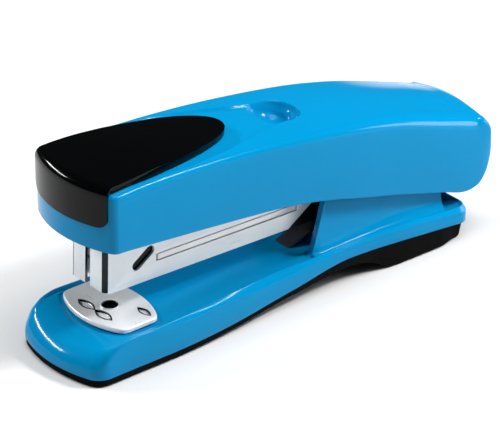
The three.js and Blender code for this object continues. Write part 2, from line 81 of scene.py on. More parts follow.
MM = 0.001
BASE_FRONT = -20.4
BASE_REAR = 115.5
COVER_FRONT = -15.2
COVER_REAR = 124.2
PIN = (109.5, 24.0)  # x and z of the hinge pin
TILT = 0.0308  # radians by which the magazine rises towards its front
ANVIL_TOP = 12.5
CHEEK_INNER, CHEEK_OUTER = 11.2, 13.0
TOWER_REAR = 106.9
CHANNEL_INNER = 6.6
ORIGIN_X = BASE_FRONT - cad_low.x / MM  # where the frame's origin is, in design millimetres
WELD = 1e-6  # metres within which points are joined

# Side profiles and half widths, as (x, value) pairs.
BASE_WIDTH = [(-22, 17.3), (10, 17.3), (30, 16.6), (50, 15.8), (66, 15.6), (80, 16), (92, 16.6), (120, 16.8)]
SOLE_BOTTOM = [(-22, 0), (6, 0), (22, 0.5), (50, 3.2), (72, 4.9), (79, 3.6), (84, 0.9), (87, 0), (120, 0)]
SOLE_TOP = [(-22, 2), (6, 2), (22, 2.3), (50, 4.9), (72, 7.7), (88, 7.2), (100, 6.2), (120, 4.8)]
RIDGE = [(-22, 7.2), (-17, 8.4), (-13, 10), (-9, 11.3), (-5, 11.8), (3, 11.6), (20, 11.6), (40, 12),
         (60, 12.1), (80, 12.4), (92, 12), (104, 10.8), (116, 10.1)]
RIDGE_INSET = [(-22, 4.2), (-16.5, 4), (-13, 2), (-10, 0.7), (-6, 0.45), (3, 0.45), (8, 0.7), (20, 1.4),
               (44, 1.5), (62, 0.75), (90, 0.75), (120, 1)]
RIDGE_DROP = [(-22, 0), (-14, 0), (-8, 0.5), (0, 0.7), (92, 0.8), (116, 0.3)]
CREASE = [(-22, 3.6), (-16.5, 4.2), (-13, 7.5), (-10, 9.9), (-6, 11.3), (0, 11), (6, 8.6), (14, 9.3),
          (22, 10.2), (44, 10.1), (62, 11.1), (73, 11.5), (92, 11.1), (104, 9.8), (113, 8.6), (120, 8.2)]
COVER_WIDTH = [(-20, 17), (36, 17), (70, 16.8), (88, 16.4), (107, 16), (125, 15.6)]
COVER_TOP = [(-20, 55), (2, 55.6), (19, 55), (36, 53.8), (53, 52), (71, 49.5), (89, 45.8), (107, 40.2),
             (116, 37.1), (120.6, 35.4), (122.8, 33), (124.2, 29.8)]
COVER_BOTTOM = [(-20, 38.6), (-8, 38.1), (0, 37.4), (17, 35.8), (34, 34.1), (48, 32.4), (62, 29.5),
                (75, 25.8), (88, 22.2), (105, 17), (115.2, 14.1), (118.6, 14.7), (121.6, 18),
                (123.3, 23.6), (124.4, 28.6)]
COVER_FILLET = [(-20, 1.6), (30, 2), (70, 3.2), (107, 4.6), (118, 4.4), (121, 2.4), (125, 1.6)]
DISH_WIDTH = [(-20, 16.4), (10, 15.8), (25, 14.4), (38, 11.4), (50, 7.8), (56, 6.9), (60, 5.2), (62.8, 0)]
PAD_PROUD = [(-16, 2.1), (5, 1.7), (23, 1.2), (38, 0.9)]
TOWER_TOP = [(49, 9), (55, 10.9), (58.6, 11.6), (59.9, 13), (61.3, 17.4), (62.6, 21.9), (63.8, 26.4),
             (65, 28.6), (68, 29), (104, 29), (106.3, 28.4), (106.9, 27.6)]


# ---------- helpers ----------

def curve(points):
    """Monotone cubic curve through (x, value) pairs, flat beyond its ends, for numbers and arrays."""
    xs, ys = (np.array(v, float) for v in zip(*points))
    secants = np.diff(ys) / np.diff(xs)
    slopes = np.zeros(len(xs))
    for i in range(1, len(xs) - 1):
        left, right = secants[i - 1], secants[i]
        slopes[i] = 0 if left * right <= 0 else 2 * left * right / (left + right)

    def at(x):
        x = np.clip(np.asarray(x, float), xs[0], xs[-1])
        i = np.clip(np.searchsorted(xs, x, side="right") - 1, 0, len(xs) - 2)
        span = xs[i + 1] - xs[i]
        t = (x - xs[i]) / span
        rise = (1 + 2 * t) * (1 - t) ** 2 * ys[i] + t * t * (3 - 2 * t) * ys[i + 1]
        return rise + t * (1 - t) ** 2 * span * slopes[i] - t * t * (1 - t) * span * slopes[i + 1]

    return at


def smoothstep(low, high, value):
    """0 below low, 1 above high and a smooth rise between."""
    t = np.clip((value - low) / (high - low), 0, 1)
    return t * t * (3 - 2 * t)


def add_piece(name, points, faces, body, material, nodes=(), sharp=40):
    """A mesh piece from points in design millimetres, shaded smooth except along sharp edges."""
    mesh = bpy.data.meshes.new(name)
    coordinates = (np.asarray(points, float) - (ORIGIN_X, 0, 0)) * MM
    mesh.from_pydata(coordinates.tolist(), [], [list(f) for f in faces])
    mesh.validate()
    bm = bmesh.new()
    bm.from_mesh(mesh)
    bmesh.ops.remove_doubles(bm, verts=bm.verts, dist=WELD)
    bmesh.ops.dissolve_degenerate(bm, edges=bm.edges, dist=WELD)
    bmesh.ops.recalc_face_normals(bm, faces=bm.faces)
    bm.to_mesh(mesh)
    bm.free()
    piece = bpy.data.objects.new(name, mesh)
    bpy.context.scene.collection.objects.link(piece)
    return finish_piece(piece, body, material, nodes, sharp)


def finish_piece(piece, body, material, nodes=(), sharp=40):
    """Shading, material, body and replaced nodes of a piece."""
    piece.data.shade_smooth()
    piece.data.set_sharp_from_angle(angle=math.radians(sharp))
    piece.data.materials.clear()
    piece.data.materials.append(material)
    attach(piece, body)
    if nodes:
        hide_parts(*nodes)
    return piece


def grid_faces(rows, columns, closed=False):
    """Quads of a grid of points, row after row; closed joins the last column to the first."""
    faces = []
    for r in range(rows - 1):
        for c in range(columns if closed else columns - 1):
            n = (c + 1) % columns
            faces.append((r * columns + c, r * columns + n, (r + 1) * columns + n, (r + 1) * columns + c))
    return faces


def half_outline(front, rear, nose_radius, nose_corner, rear_corner, width, steps):
    """One side of a plan outline from the nose round to the rear: nose arc, corner arc, side, rear corner."""
    nose_steps, corner_steps, end_steps = 30, 16, 24
    side = float(width(front))
    turn = math.asin((side - nose_corner) / (nose_radius - nose_corner))
    corner_x = front + nose_radius - (nose_radius - nose_corner) * math.cos(turn)
    points = []
    for a in np.linspace(0, turn, nose_steps, endpoint=False):
        points.append((front + nose_radius * (1 - math.cos(a)), nose_radius * math.sin(a)))
    for a in np.linspace(turn, math.pi / 2, corner_steps):
        points.append((corner_x - nose_corner * math.cos(a), side - nose_corner * (1 - math.sin(a))))
    end = rear - rear_corner
    for x in np.linspace(corner_x, end, steps)[1:-1]:
        points.append((x, float(width(x))))
    for a in np.linspace(0, math.pi / 2, corner_steps):
        points.append((end + rear_corner * math.sin(a), float(width(end)) - rear_corner * (1 - math.cos(a))))
    last = points[-1][1]
    for y in np.linspace(last, 0, end_steps)[1:]:
        points.append((rear, y))
    return points


def ring_of(half):
    """The closed outline with the inward direction at each point, as an array of x, y, inward x, inward y."""
    half = np.array(half)
    mirrored = half[1:-1] * (1, -1)
    ring = np.vstack([half[:1], mirrored, half[-1:], half[1:-1][::-1]])
    run = np.roll(ring, -1, axis=0) - np.roll(ring, 1, axis=0)
    run /= np.linalg.norm(run, axis=1)[:, None]
    return np.column_stack([ring, -run[:, 1], run[:, 0]])


def perimeter_points(ring, levels, reach=14, change=None):
    """Rows of points that follow a plan outline. Each level is (inset, fill, height), with inset and height
    as functions of x; fill goes from the inset outline, 0, to the middle line, 1. change moves the points."""
    low, high = ring[:, 0].min() + reach, ring[:, 0].max() - reach
    rows = []
    for inset, fill, height in levels:
        depth = inset(ring[:, 0]) if callable(inset) else inset
        x = ring[:, 0] + ring[:, 2] * depth
        y = ring[:, 1] + ring[:, 3] * depth
        middle = np.clip(x, low, high)
        x = x + (middle - x) * fill
        y = y * (1 - fill)
        row = np.column_stack([x, y, height(x)])
        rows.append(change(row, fill) if change else row)
    return np.vstack(rows)


def fillet_levels(radius, top, steps):
    """Levels of a quarter-round from the side, radius below top, up to the top edge."""
    levels = []
    for a in np.linspace(0, math.pi / 2, steps):
        inset = lambda x, a=a: radius(x) * (1 - math.cos(a))
        height = lambda x, a=a: top(x) - radius(x) * (1 - math.sin(a))
        levels.append((inset, 0.0, height))
    return levels


# ---------- materials ----------

def new_material(name):
    """A material with its nodes, its links and its main shader."""
    material = bpy.data.materials.new(name)
    material.use_nodes = True
    nodes, links = material.node_tree.nodes, material.node_tree.links
    return material, nodes, links, nodes["Principled BSDF"]


def noise(nodes, links, scale, detail=4.0, stretch=(1, 1, 1), roughness=0.5):
    """A noise texture on object coordinates, in cycles per metre, stretched along an axis."""
    coordinates = nodes.new("ShaderNodeTexCoord")
    mapping = nodes.new("ShaderNodeMapping")
    mapping.inputs["Scale"].default_value = stretch
    texture = nodes.new("ShaderNodeTexNoise")
    texture.inputs["Scale"].default_value = scale
    texture.inputs["Detail"].default_value = detail
    texture.inputs["Roughness"].default_value = roughness
    links.new(coordinates.outputs["Object"], mapping.inputs["Vector"])
    links.new(mapping.outputs["Vector"], texture.inputs["Vector"])
    return texture.outputs["Fac"]


def ramp(nodes, links, value, low, high, start=0.3, end=0.7):
    """A value or colour that runs from low to high as the input goes from start to end."""
    stops = nodes.new("ShaderNodeValToRGB")
    stops.color_ramp.elements[0].position = start
    stops.color_ramp.elements[1].position = end
    for element, colour in zip(stops.color_ramp.elements, (low, high)):
        element.color = (*colour, 1) if hasattr(colour, "__len__") else (colour, colour, colour, 1)
    links.new(value, stops.inputs["Fac"])
    return stops.outputs["Color"]


def bump(nodes, links, shader, height, strength, distance, before=None):
    """A bump of distance metres on the shader, on top of the one before it."""
    node = nodes.new("ShaderNodeBump")
    node.inputs["Strength"].default_value = strength
    node.inputs["Distance"].default_value = distance
    links.new(height, node.inputs["Height"])
    if before is not None:
        links.new(before, node.inputs["Normal"])
    links.new(node.outputs["Normal"], shader.inputs["Normal"])
    return node.outputs["Normal"]


def moulded_plastic(name, dark, light, rough_low, rough_high, gloss, grain, grain_strength):
    """Moulded plastic: slight colour drift, handling marks in the gloss and a fine surface grain."""
    material, nodes, links, shader = new_material(name)
    drift = noise(nodes, links, 28, 3)
    links.new(ramp(nodes, links, drift, dark, light), shader.inputs["Base Color"])
    marks = noise(nodes, links, 45, 4)
    links.new(ramp(nodes, links, marks, rough_low, rough_high, 0.35, 0.75), shader.inputs["Roughness"])
    swell = bump(nodes, links, shader, noise(nodes, links, 60, 2), 0.03, 0.0004)
    bump(nodes, links, shader, noise(nodes, links, grain, 3), grain_strength, 0.00004, swell)
    shader.inputs["Specular IOR Level"].default_value = gloss
    return material


def pressed_metal(name, dark, light, rough_low, rough_high, stretch, scratch, metal=1.0):
    """Rolled and plated sheet: fine lines along the rolling direction, cloudy plating and light scratches."""
    material, nodes, links, shader = new_material(name)
    cloud = noise(nodes, links, 70, 4)
    links.new(ramp(nodes, links, cloud, dark, light), shader.inputs["Base Color"])
    lines = noise(nodes, links, 900, 5, stretch, 0.7)
    links.new(ramp(nodes, links, lines, rough_low, rough_high), shader.inputs["Roughness"])
    first = bump(nodes, links, shader, lines, scratch, 0.00003)
    bump(nodes, links, shader, noise(nodes, links, 90, 2), 0.01, 0.0001, first)
    shader.inputs["Metallic"].default_value = metal
    return material


def rubber(name):
    """Matt black rubber with a fine moulded grain."""
    material, nodes, links, shader = new_material(name)
    cloud = noise(nodes, links, 60, 4)
    links.new(ramp(nodes, links, cloud, 0.0014, 0.003), shader.inputs["Base Color"])
    grain = noise(nodes, links, 2600, 4, roughness=0.7)
    links.new(ramp(nodes, links, grain, 0.62, 0.85), shader.inputs["Roughness"])
    bump(nodes, links, shader, grain, 0.35, 0.00008)
    shader.inputs["Specular IOR Level"].default_value = 0.04
    return material


BLUE = moulded_plastic("blue_abs", dark=(0.0004, 0.216, 0.450), light=(0.0007, 0.222, 0.470),
                       rough_low=0.10, rough_high=0.13, gloss=0.1, grain=1500, grain_strength=0.03)
BLACK = moulded_plastic("black_gloss", dark=(0.0004, 0.0007, 0.0008), light=(0.0009, 0.0013, 0.0014),
                        rough_low=0.11, rough_high=0.14, gloss=0.16, grain=2200, grain_strength=0.04)
SOLE_RUBBER = rubber("sole_rubber")
STEEL = pressed_metal("plated_steel", dark=(0.72, 0.77, 0.78), light=(0.79, 0.83, 0.84), rough_low=0.27,
                      rough_high=0.31, stretch=(0.06, 1, 1), scratch=0.012, metal=0.3)
BRIGHT = pressed_metal("bright_plate", dark=(0.82, 0.82, 0.83), light=(0.88, 0.88, 0.88), rough_low=0.27,
                       rough_high=0.31, stretch=(1, 0.12, 1), scratch=0.012, metal=0.3)
WIRE = pressed_metal("staple_wire", dark=(0.62, 0.63, 0.64), light=(0.80, 0.80, 0.80), rough_low=0.2,
                     rough_high=0.34, stretch=(1, 0.1, 0.1), scratch=0.2)
SPRING = pressed_metal("spring_steel", dark=(0.30, 0.30, 0.31), light=(0.42, 0.42, 0.43), rough_low=0.26,
                       rough_high=0.42, stretch=(1, 1, 0.1), scratch=0.2)
# Near-black steel used only as painted shade: on the channel's front bends and inside the anvil plate's hole.
SHADE_BLACK = pressed_metal("painted_shade_black", dark=(0.010, 0.014, 0.016), light=(0.024, 0.030, 0.034),
                          rough_low=0.3, rough_high=0.4, stretch=(1, 1, 0.1), scratch=0.05)
# Dark oiled steel for the base frame and anvil post; also used as painted shade on the channel's inner faces,
# its rear part inside the tower and the anvil grooves' edges.
OILED_AND_SHADE = pressed_metal("oiled_steel_and_painted_shade", dark=(0.02, 0.022, 0.024), light=(0.05, 0.052, 0.055), rough_low=0.3,
                      rough_high=0.45, stretch=(0.1, 1, 1), scratch=0.1)

# ---------- handle cover ----------

cover_top = curve(COVER_TOP)
cover_bottom = curve(COVER_BOTTOM)
cover_fillet = curve(COVER_FILLET)
COVER_PLAN = dict(front=COVER_FRONT, rear=COVER_REAR, nose_radius=34, nose_corner=2.6, rear_corner=1.6,
                  width=curve(COVER_WIDTH))
COVER_WALL = 1.9
ROOF = 3.4
ROOF_DIP = dict(x=55.6, depth=5.2, length=11)  # the inside dips to clear the finger pit
CROWN = 0.7
REAR_CROWN = 1.1
DISH_DEPTH = 0.9
DISH_TIP = 62.8
PIT = dict(x=55.8, front=5.2, rear=7.8, half_width=7.2, depth=5.6, squareness=2.5)

dish_half_width = curve(DISH_WIDTH)


def crown(x, y):
    """How far the cover's top bulges between its rounded edges."""
    flat_half = COVER_PLAN["width"](x) - cover_fillet(x)
    across = np.sin((1 - np.clip(np.abs(y) / flat_half, 0, 1)) * math.pi / 2)
    return across * (CROWN + REAR_CROWN * smoothstep(90, 118, x)) * smoothstep(2, 16, x - COVER_FRONT)


def dish_depth(x, y):
    """Shallow dish behind the thumb pad that ends in a finger pit."""
    edge = dish_half_width(x) - np.abs(y)
    edge = np.minimum(edge, (DISH_TIP - x) * 0.8)
    shallow = DISH_DEPTH * smoothstep(0, 0.9, edge) * smoothstep(-6, 6, x)
    reach = np.where(x < PIT["x"], PIT["front"], PIT["rear"])
    power = PIT["squareness"]
    rho = (np.abs((x - PIT["x"]) / reach) ** power + np.abs(y / PIT["half_width"]) ** power) ** (1 / power)
    bowl = 1 - np.minimum(rho, 1) ** 2.8
    return shallow * (1 - bowl) + PIT["depth"] * bowl * smoothstep(0, 0.2, bowl)


def ceiling(x):
    """Height of the cover's inside, which dips under the finger pit."""
    share = (x - ROOF_DIP["x"]) / ROOF_DIP["length"]
    return cover_top(x) - ROOF - ROOF_DIP["depth"] * np.exp(-(share ** 2))


def cover_shell():
    """The moulded cover as one closed skin: the inside, the lower lip, the sides and the dished top."""
    ring = ring_of(half_outline(steps=460, **COVER_PLAN))
    lip = 0.4
    wall = COVER_WALL

    def shaped(row, _fill):
        x, y = row[:, 0], row[:, 1]
        weight = np.clip((row[:, 2] - cover_top(x)) / cover_fillet(x) + 1, 0, 1)
        row[:, 2] += weight * (crown(x, y) - dish_depth(x, y) * (weight > 0.999))
        return row

    levels = [(wall + 3, 1.0, ceiling), (wall + 3, 0.5, ceiling), (wall + 3, 0.0, ceiling),
              (wall + 0.9, 0.0, lambda x: ceiling(x) - 0.9), (wall, 0.0, lambda x: ceiling(x) - 3),
              (wall, 0.0, lambda x: cover_bottom(x) + lip),
              (wall - 0.1, 0.0, lambda x: cover_bottom(x) + 0.1),
              (wall - 0.3, 0.0, cover_bottom)]
    for a in np.linspace(0, math.pi / 2, 5):
        levels.append((lip * (1 - math.sin(a)), 0.0,
                       lambda x, a=a: cover_bottom(x) + lip * (1 - math.cos(a))))
    levels += fillet_levels(cover_fillet, cover_top, 12)
    for fill in np.linspace(0, 1, 64)[1:]:
        levels.append((cover_fillet, float(fill), cover_top))
    points = perimeter_points(ring, levels, change=shaped)
    faces = grid_faces(len(levels), len(ring), closed=True)
    return add_piece("cover_shell", points, faces, "handle", BLUE, ["top_cover"], 50)


PAD_TIP = 38.0
PAD_SHOULDER = (5.0, 13.9)  # x and half width where the pad's sides start to close in
PAD_HALF_FRONT = 15.2
PAD_OVERHANG = 0.6
PAD_EDGE = 2.6
PAD_CORNER = 3.0
PAD_LOW = 45.7
PAD_THICKNESS = 2.4
pad_proud = curve(PAD_PROUD)


def bezier(points, t):
    """Points at each t on a cubic curve with four control points."""
    p0, p1, p2, p3 = (np.array(p, float) for p in points)
    t = np.asarray(t, float)[:, None]
    return (1 - t) ** 3 * p0 + 3 * t * (1 - t) ** 2 * p1 + 3 * t * t * (1 - t) * p2 + t ** 3 * p3


def thumb_pad():
    """The pad's outer skin: rows run across it, from the tip forward, over the edge and down the nose."""
    columns = 81
    across = np.sin(np.linspace(-1, 1, columns) * math.pi / 2)
    half_front, edge, corner, crown_half = PAD_HALF_FRONT, PAD_EDGE, PAD_CORNER, 15.5
    shoulder_x, shoulder = PAD_SHOULDER
    nose_radius = COVER_PLAN["nose_radius"]
    side = bezier([PAD_SHOULDER, (20, 12.1), (PAD_TIP, 8.4), (PAD_TIP, 0.02)], np.linspace(1, 0, 46))
    rows = []

    def top_row(x, half, bend):
        y = half * across
        bow = nose_radius - np.sqrt(nose_radius ** 2 - y ** 2)
        px = x + bend * bow
        bulge = CROWN * np.cos(np.clip(y / crown_half, -1, 1) * math.pi / 2)
        return np.column_stack([px, y, cover_top(px) + bulge + pad_proud(px)])

    for x, half in side:
        rows.append(top_row(x, half, 0.0))
    front_x = COVER_FRONT - PAD_OVERHANG + edge
    for share in np.linspace(0, 1, 30)[1:]:
        x = shoulder_x + (front_x - shoulder_x) * share
        half = shoulder + (half_front - shoulder) * (1 - (1 - share) ** 2)
        rows.append(top_row(x, half, share ** 1.5))
    last = rows[-1]
    outward = np.column_stack([-np.sqrt(1 - (last[:, 1] / nose_radius) ** 2), last[:, 1] / nose_radius])
    for a in np.linspace(0, math.pi / 2, 12)[1:]:
        x = last[:, 0] + outward[:, 0] * edge * math.sin(a)
        y = last[:, 1] + outward[:, 1] * edge * math.sin(a) * 0.3
        rows.append(np.column_stack([x, y, last[:, 2] - edge * (1 - math.cos(a))]))
    rim = rows[-1]
    squeeze = np.clip((np.abs(across) * half_front - (half_front - corner)) / corner, 0, 1)
    low = PAD_LOW + corner * (1 - np.sqrt(1 - squeeze ** 2)) * 0.9
    for share in np.linspace(0, 1, 14)[1:]:
        z = rim[:, 2] + (low - rim[:, 2]) * share
        rows.append(np.column_stack([rim[:, 0], rim[:, 1], z]))
    points = np.vstack(rows)
    piece = add_piece("pad_skin", points, grid_faces(len(rows), columns), "handle", BLACK,
                      ["thumb_pad"], 50)
    thicken(piece, PAD_THICKNESS * MM)
    round_edges(piece, 0.7 * MM, 4, 50)
    return piece


def bake_modifiers(piece):
    """Applies the modifiers of a piece to its mesh."""
    bpy.context.view_layer.update()
    graph = bpy.context.evaluated_depsgraph_get()
    mesh = bpy.data.meshes.new_from_object(piece.evaluated_get(graph))
    piece.modifiers.clear()
    piece.data = mesh


def thicken(piece, depth):
    """Gives a skin its thickness, inwards from the side that is seen."""
    solid = piece.modifiers.new("thickness", "SOLIDIFY")
    solid.thickness = depth
    solid.offset = -1
    bake_modifiers(piece)


def round_edges(piece, width, segments=2, angle=35):
    """A small bevel along edges sharper than angle, with smooth shading across it."""
    edge = piece.modifiers.new("edges", "BEVEL")
    edge.width = width
    edge.segments = segments
    edge.limit_method = "ANGLE"
    edge.angle_limit = math.radians(angle)
    edge.harden_normals = False
    bake_modifiers(piece)
    piece.data.shade_smooth()
    piece.data.set_sharp_from_angle(angle=math.radians(angle))


def refined(node, material, width, name=None, segments=2, angle=28):
    """A CAD node's shape with its flat faces joined up and its edges rounded."""
    flat_within = math.radians(0.6)
    source = frame["nodes"][node]
    mesh = source.data.copy()
    bm = bmesh.new()
    bm.from_mesh(mesh)
    bmesh.ops.remove_doubles(bm, verts=bm.verts, dist=2 * WELD)
    bmesh.ops.dissolve_limit(bm, angle_limit=flat_within, verts=bm.verts, edges=bm.edges)
    bm.to_mesh(mesh)
    bm.free()
    piece = bpy.data.objects.new(name or node + "_fine", mesh)
    bpy.context.scene.collection.objects.link(piece)
    finish_piece(piece, source["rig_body"], material, [node], angle)
    round_edges(piece, width, segments, angle)
    return piece


# ---------- base ----------

sole_bottom = curve(SOLE_BOTTOM)
sole_top = curve(SOLE_TOP)
ridge = curve(RIDGE)
ridge_inset = curve(RIDGE_INSET)
ridge_drop = curve(RIDGE_DROP)
crease = curve(CREASE)
BASE_PLAN = dict(front=BASE_FRONT, rear=BASE_REAR, nose_radius=40, nose_corner=5.5, rear_corner=4,
                 width=curve(BASE_WIDTH))
base_ring = ring_of(half_outline(steps=300, **BASE_PLAN))
SEAT_DEPTH = 0.3
MOUTH_DEPTH = 1.7
SHELF = 1.1  # width of the rounded shelf inside the ridge
ANVIL = dict(half_width=13.6, corner=5.6, belly=9.5)
ANVIL_ARC = (ANVIL["half_width"] ** 2 + (ANVIL["belly"] - ANVIL["corner"]) ** 2) / (
    2 * (ANVIL["belly"] - ANVIL["corner"]))


def anvil_distance(x, y):
    """Distance outside the anvil plate's outline, negative inside it."""
    half = ANVIL["belly"] - ANVIL_ARC + np.sqrt(np.maximum(ANVIL_ARC ** 2 - y ** 2, 1))
    return np.maximum(np.abs(x) - half, np.abs(y) - ANVIL["half_width"])


def base_deck(row, fill):
    """Sinks the deck round the anvil and towards the mouth of the hinge tower."""
    if fill <= 0:
        return row
    x, y = row[:, 0], row[:, 1]
    seat = SEAT_DEPTH * (1 - smoothstep(0.8, 1.25, anvil_distance(x, y)))
    mouth = MOUTH_DEPTH * smoothstep(48, 62, x) * (1 - smoothstep(6.0, 11.6, np.abs(y)))
    row[:, 2] -= seat + mouth
    return row


def side_level(t):
    """A level of the base's side between the crease, t = 0, and the ridge, t = 1: round at the nose and a
    flat chamfer towards the rear."""
    a = t * math.pi / 2

    def inset(x):
        flat = smoothstep(4, 40, x)
        return ridge_inset(x) * (flat * t + (1 - flat) * (1 - math.cos(a)))

    def height(x):
        flat = smoothstep(4, 40, x)
        return crease(x) + (ridge(x) - crease(x)) * (flat * t + (1 - flat) * math.sin(a))

    return inset, 0.0, height


def base_body():
    """The moulded base as one closed skin: foot, side, chamfer, ridge, shelf and sunken deck."""
    def foot(x):
        return sole_top(x) + 0.05

    levels = [(0.6, 1.0, foot), (0.6, 0.0, foot), (0.15, 0.0, lambda x: foot(x) + 0.1),
              (0.0, 0.0, lambda x: foot(x) + 0.35), (0.0, 0.0, lambda x: foot(x) * 0.5 + crease(x) * 0.5),
              (0.0, 0.0, lambda x: crease(x) - 0.35)]
    levels += [side_level(t) for t in (0.0, 0.1, 0.2, 0.32, 0.44, 0.56, 0.68, 0.8, 0.9, 1.0)]
    for share in np.linspace(0, 1, 9):
        eased = share * share * (3 - 2 * share)
        levels.append((lambda x, share=share: ridge_inset(x) + 0.2 + 0.9 * share, 0.0,
                       lambda x, eased=eased: ridge(x) - ridge_drop(x) * eased))
    for fill in np.linspace(0, 1, 70)[1:]:
        levels.append((lambda x: ridge_inset(x) + SHELF, float(fill), lambda x: ridge(x) - ridge_drop(x)))
    points = perimeter_points(base_ring, levels, change=base_deck)
    faces = grid_faces(len(levels), len(base_ring), closed=True)
    return add_piece("base_body", points, faces, "base", BLUE, ["base_cover"], 50)


tower_top = curve(TOWER_TOP)


def tower_side(side):
    """One cheek of the hinge tower: a thin wall whose foot flares out to the base's ridge."""
    crest_round, sunk, overlap = 0.4, 3.6, 0.1
    middle, radius = (CHEEK_INNER + CHEEK_OUTER) / 2, (CHEEK_OUTER - CHEEK_INNER) / 2
    stations = np.concatenate([np.linspace(50, 56, 10), np.linspace(56.3, 68, 70), np.linspace(68.5, 104, 60),
                               np.linspace(104.3, TOWER_REAR, 10)])
    rows = []
    for x in stations:
        crest = float(ridge(x))
        low = crest - sunk
        ledge = float(BASE_PLAN["width"](x)) - float(ridge_inset(x)) - 0.25
        height = max(float(tower_top(x)) - crest, 0.0)
        top = float(tower_top(x)) - 0.15
        flare = min(height * 0.6, 5.5)
        section = [(CHEEK_INNER, low), (CHEEK_INNER, top - crest_round)]
        for a in np.linspace(0, math.pi, 9):
            section.append((middle - radius * math.cos(a), top - crest_round + crest_round * math.sin(a)))
        reach = ledge - CHEEK_OUTER
        for a in np.linspace(0, math.pi / 2, 14):
            section.append((CHEEK_OUTER + reach * (1 - math.cos(a)),
                            min(top - crest_round, crest - 0.05) + flare * (1 - math.sin(a))))
        section.append((ledge + overlap, crest - 0.4))
        section.append((ledge + overlap, low))
        rows.append(np.array([(x, side * y, z) for y, z in section]))
    columns = len(rows[0])
    faces = grid_faces(len(rows), columns, closed=True)
    faces.append(tuple(range(columns)))
    faces.append(tuple(range((len(rows) - 1) * columns, len(rows) * columns)))
    name = "tower_cheek_right" if side > 0 else "tower_cheek_left"
    return add_piece(name, np.vstack(rows), faces, "base", BLUE, sharp=42)


def sole():
    """The rubber underlay, whose lower edge is rounded and whose rear leans in under the hinge."""
    edge = 0.75

    def lean(x):
        return 1.5 * smoothstep(104, 112, x)

    def inset(x):
        return 1.0 + lean(x)

    def brim(x):
        return 0.25 + 0.5 * lean(x)

    levels = [(inset, 1.0, sole_bottom), (inset, 0.0, sole_bottom)]
    for a in np.linspace(0, math.pi / 2, 6)[1:]:
        levels.append((lambda x, a=a: inset(x) - edge * math.sin(a), 0.0,
                       lambda x, a=a: sole_bottom(x) + edge * (1 - math.cos(a))))
    levels += [(brim, 0.0, sole_top), (brim, 1.0, sole_top)]
    points = perimeter_points(base_ring, levels)
    return add_piece("sole_pad", points, grid_faces(len(levels), len(base_ring), closed=True), "base",
                     SOLE_RUBBER, ["sole"], 50)


# ---------- anvil ----------

def anvil_outline(count):
    """Points round the barrel-shaped plate, evenly spaced, then smoothed until its corners are round."""
    smoothings = 150
    half_angle = math.asin(ANVIL["half_width"] / ANVIL_ARC)
    arc = []
    for a in np.linspace(-half_angle, half_angle, 121):
        arc.append((ANVIL["belly"] - ANVIL_ARC + ANVIL_ARC * math.cos(a), ANVIL_ARC * math.sin(a)))
    front = [(-x, -y) for x, y in arc]
    ring = np.array(arc + front)
    closed = np.vstack([ring, ring[:1]])
    length = np.concatenate([[0], np.cumsum(np.linalg.norm(np.diff(closed, axis=0), axis=1))])
    at = np.linspace(0, length[-1], count, endpoint=False)
    even = np.column_stack([np.interp(at, length, closed[:, i]) for i in range(2)])
    for _ in range(smoothings):
        even = (np.roll(even, 1, axis=0) + 2 * even + np.roll(even, -1, axis=0)) / 4
    return even


def almond(x, y, cx, cy, half_length, half_width):
    """1 in the middle of an almond-shaped groove, 0 outside it."""
    along = np.abs(y - cy) / half_length
    width = half_width * np.clip(1 - along ** 2, 0.0001, 1)
    return np.clip(1 - np.abs(x - cx) / width, 0, 1) * (along < 1)


# Centre x and y, half length and half width of each groove.
GROOVES = [(-4.9, -3.6, 3.7, 1.5), (-4.9, 3.8, 3.7, 1.5), (4.6, -9.0, 2.9, 1.15), (4.6, 9.0, 2.9, 1.15)]


def groove_shade_loop(name, cx, cy, half_length, half_width):
    """Painted shade along the edge of one almond-shaped groove: a thin dark loop let into the plate."""
    rows = []
    for size, z in ((1.06, -0.5), (1.06, 0.04), (0.76, 0.04), (0.76, -0.5)):
        along = np.sin(np.linspace(-math.pi / 2, math.pi / 2, 25))
        width = half_width * size * (1 - along ** 2)
        reach = cy + along * half_length * (0.5 + 0.5 * size)
        x = np.concatenate([cx + width, (cx - width)[-2:0:-1]])
        y = np.concatenate([reach, reach[-2:0:-1]])
        rows.append(np.column_stack([x, y, np.full(len(x), ANVIL_TOP + z)]))
    rows.append(rows[0])
    return add_piece(name, np.vstack(rows), grid_faces(len(rows), len(rows[0]), closed=True), "anvil_plate",
                     OILED_AND_SHADE)


